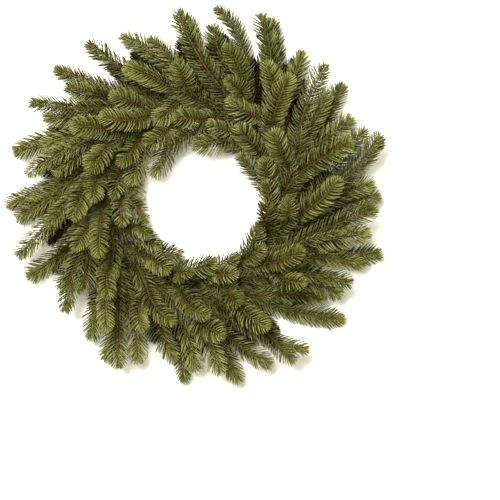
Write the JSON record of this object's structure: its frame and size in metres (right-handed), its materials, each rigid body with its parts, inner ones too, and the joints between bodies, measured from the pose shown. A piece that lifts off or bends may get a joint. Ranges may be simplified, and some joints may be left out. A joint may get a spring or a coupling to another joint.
{
  "type": "evergreen wreath",
  "caption": "Round wreath of fir sprigs bound in overlapping bunches on a double-rail wire ring, all sweeping one way round an open centre.",
  "frame": {"origin": "middle of the wreath, at the level of the flat straps that its back rests on", "axes": "+Z out of the wreath's front, +Y up as it hangs, +X to the right seen from the front"},
  "size_m": [0.5922, 0.5919, 0.1041],
  "materials": {
    "needles": "satin",
    "bark": "matte",
    "ring_wire": "satin",
    "binding_wire": "satin"
  },
  "bodies": {
    "root": {"binding_wire": "binding_wire", "front_sprig_01": "needles", "front_sprig_02": "needles", "front_sprig_03": "needles", "front_sprig_04": "needles", "front_sprig_05": "needles", "front_sprig_06": "needles", "front_sprig_07": "needles", "front_sprig_08": "needles", "front_sprig_09": "needles", "front_sprig_10": "needles", "front_sprig_11": "needles", "front_sprig_12": "needles", "front_sprig_13": "needles", "front_sprig_14": "needles", "inner_sprig_01": "needles", "inner_sprig_02": "needles", "inner_sprig_03": "needles", "inner_sprig_04": "needles", "inner_sprig_05": "needles", "inner_sprig_06": "needles", "inner_sprig_07": "needles", "inner_sprig_08": "needles", "inner_sprig_09": "needles", "inner_sprig_10": "needles", "inner_sprig_11": "needles", "inner_sprig_12": "needles", "inner_sprig_13": "needles", "inner_sprig_14": "needles", "middle_sprig_01": "needles", "middle_sprig_02": "needles", "middle_sprig_03": "needles", "middle_sprig_04": "needles", "middle_sprig_05": "needles", "middle_sprig_06": "needles", "middle_sprig_07": "needles", "middle_sprig_08": "needles", "middle_sprig_09": "needles", "middle_sprig_10": "needles", "middle_sprig_11": "needles", "middle_sprig_12": "needles", "middle_sprig_13": "needles", "middle_sprig_14": "needles", "outer_sprig_01": "needles", "outer_sprig_02": "needles", "outer_sprig_03": "needles", "outer_sprig_04": "needles", "outer_sprig_05": "needles", "outer_sprig_06": "needles", "outer_sprig_07": "needles", "outer_sprig_08": "needles", "outer_sprig_09": "needles", "outer_sprig_10": "needles", "outer_sprig_11": "needles", "outer_sprig_12": "needles", "outer_sprig_13": "needles", "outer_sprig_14": "needles", "ring_frame": "ring_wire"}
  },
  "joints": []
}
